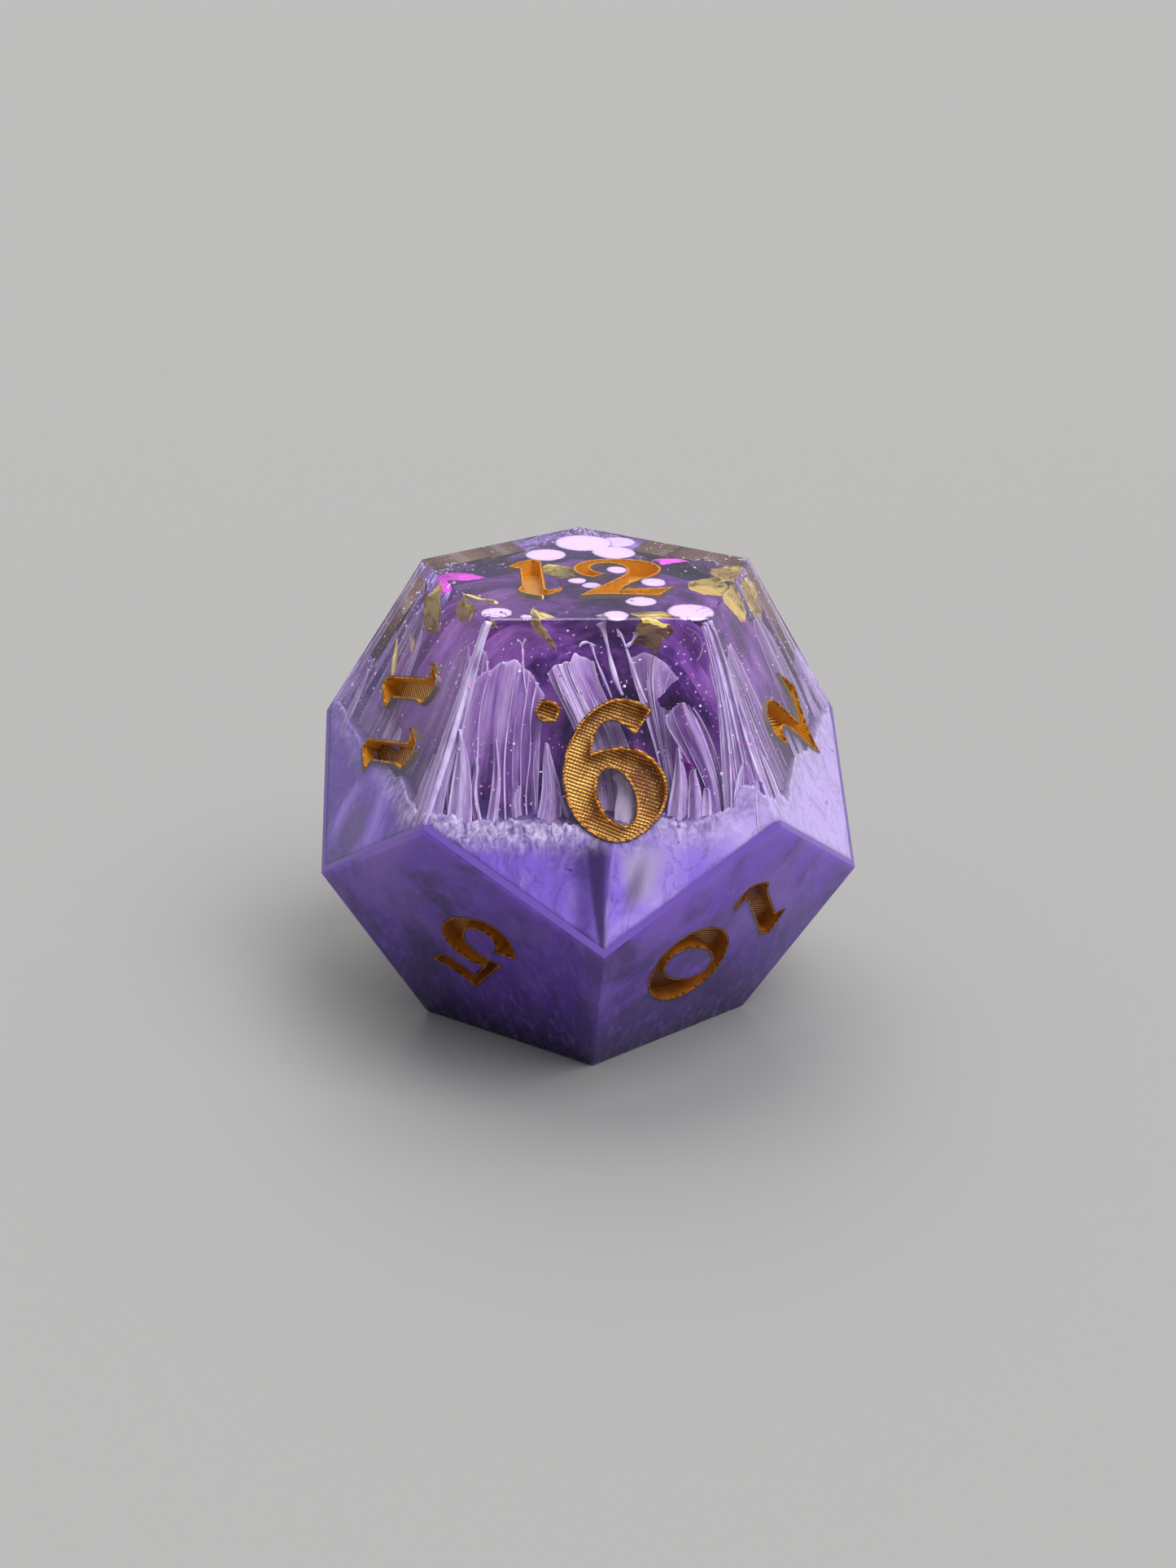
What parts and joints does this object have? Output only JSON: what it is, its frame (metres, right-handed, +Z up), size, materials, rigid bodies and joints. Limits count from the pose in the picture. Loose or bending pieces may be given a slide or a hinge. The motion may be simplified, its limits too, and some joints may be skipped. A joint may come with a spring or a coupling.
{
  "type": "polyhedral die",
  "caption": "Sharp-edged gaming die of clear resin with sunk gold numerals, and white and purple ink, pearl and metal leaf cast inside.",
  "frame": {"origin": "under the die's middle, on the plane of the face it rests on", "axes": "+Z up through face 12; -Y towards the side that carries face 9; +X to the right of someone facing that side"},
  "size_m": [0.0236, 0.0248, 0.02],
  "materials": {
    "clear_resin": "polished clear resin with a faint violet tint",
    "lavender_ink": "milky ink",
    "purple_pearl": "pearl pigment under a polished skin",
    "violet_ink": "dark violet ink dispersed in resin",
    "white_ink": "flat pale lavender ink",
    "veil_ink": "thin streaked ink",
    "gold_leaf": "crumpled bright leaf",
    "violet_leaf": "crumpled violet leaf",
    "gold_paint": "metallic gold paint, brushed"
  },
  "bodies": {
    "root": {"clear_resin_casting": "clear_resin", "lavender_ink_pool": "lavender_ink", "purple_pearl_base": "purple_pearl", "violet_ink_cloud": "violet_ink", "white_ink_disc_01": "white_ink", "white_ink_disc_02": "white_ink", "white_ink_disc_03": "white_ink", "white_ink_disc_04": "white_ink", "white_ink_disc_05": "white_ink", "white_ink_disc_06": "white_ink", "white_ink_disc_07": "white_ink", "white_ink_disc_08": "white_ink", "white_ink_disc_09": "white_ink", "white_ink_disc_10": "white_ink", "white_ink_disc_11": "white_ink", "white_ink_disc_12": "white_ink", "white_ink_disc_13": "white_ink", "ink_veil_01": "veil_ink", "ink_veil_02": "veil_ink", "ink_veil_03": "veil_ink", "ink_veil_04": "veil_ink", "ink_veil_05": "veil_ink", "ink_veil_06": "veil_ink", "ink_veil_07": "veil_ink", "ink_veil_08": "veil_ink", "ink_veil_09": "veil_ink", "ink_veil_10": "veil_ink", "ink_veil_11": "veil_ink", "ink_veil_12": "veil_ink", "ink_veil_13": "veil_ink", "ink_veil_14": "veil_ink", "ink_veil_15": "veil_ink", "ink_veil_16": "veil_ink", "gold_foil_flake_01": "gold_leaf", "gold_foil_flake_02": "gold_leaf", "gold_foil_flake_03": "gold_leaf", "gold_foil_flake_04": "gold_leaf", "gold_foil_flake_05": "gold_leaf", "gold_foil_flake_06": "gold_leaf", "gold_foil_flake_07": "gold_leaf", "gold_foil_flake_08": "gold_leaf", "gold_foil_flake_09": "gold_leaf", "violet_foil_flake_01": "violet_leaf", "violet_foil_flake_02": "violet_leaf", "violet_foil_flake_03": "violet_leaf", "violet_foil_flake_04": "violet_leaf", "numeral_paint_12": "gold_paint", "numeral_paint_09": "gold_paint", "numeral_paint_07": "gold_paint", "numeral_paint_08": "gold_paint", "numeral_paint_03": "gold_paint", "numeral_paint_11": "gold_paint", "numeral_paint_10": "gold_paint", "numeral_paint_02": "gold_paint", "numeral_paint_04": "gold_paint", "numeral_paint_06": "gold_paint", "numeral_paint_05": "gold_paint", "numeral_paint_01": "gold_paint"}
  },
  "joints": []
}
